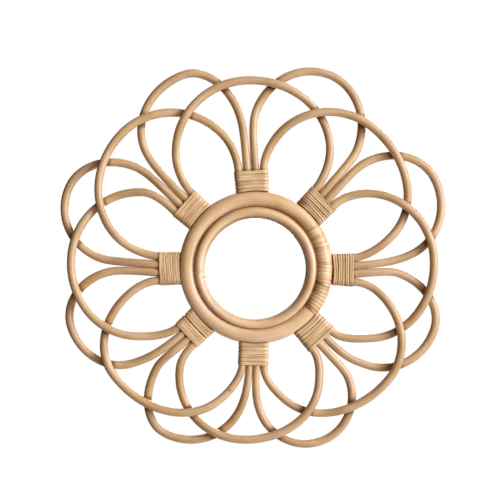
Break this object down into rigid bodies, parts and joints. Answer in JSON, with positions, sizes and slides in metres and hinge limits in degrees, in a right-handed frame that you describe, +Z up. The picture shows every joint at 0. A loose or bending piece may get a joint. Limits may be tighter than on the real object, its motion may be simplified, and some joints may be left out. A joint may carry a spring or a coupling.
{
  "type": "wall mirror",
  "caption": "Round wall mirror in a thick rattan ring, set in a flower of bent rattan rods tied on with cane; hangs from a strip on its back.",
  "frame": {"origin": "middle of the raised back face of the sawtooth hanger, where it meets the wall", "axes": "+X to the right seen from the front, +Y into the wall, +Z up"},
  "size_m": [0.4793, 0.0245, 0.4746],
  "materials": {
    "petal_rod": "satin peeled rattan rod with faint grain and nodes",
    "ring_pole": "satin rattan pole",
    "cane": "satin split cane strips",
    "mirror": "silvered clear glass",
    "board": "matt brown hardboard",
    "hanger_steel": "zinc-plated steel"
  },
  "bodies": {
    "root": {"mirror_glass": "mirror", "backing_board": "board", "hanger": "hanger_steel", "main_ring": "ring_pole", "inner_ring": "ring_pole", "ring_joint_binding": "cane", "large_petal_n": "petal_rod", "large_petal_ne": "petal_rod", "large_petal_e": "petal_rod", "large_petal_se": "petal_rod", "large_petal_s": "petal_rod", "large_petal_sw": "petal_rod", "large_petal_w": "petal_rod", "large_petal_nw": "petal_rod", "small_petal_nne": "petal_rod", "small_petal_ene": "petal_rod", "small_petal_ese": "petal_rod", "small_petal_sse": "petal_rod", "small_petal_ssw": "petal_rod", "small_petal_wsw": "petal_rod", "small_petal_wnw": "petal_rod", "small_petal_nnw": "petal_rod", "binding_n": "cane", "binding_ne": "cane", "binding_e": "cane", "binding_se": "cane", "binding_s": "cane", "binding_sw": "cane", "binding_w": "cane", "binding_nw": "cane"}
  },
  "joints": []
}
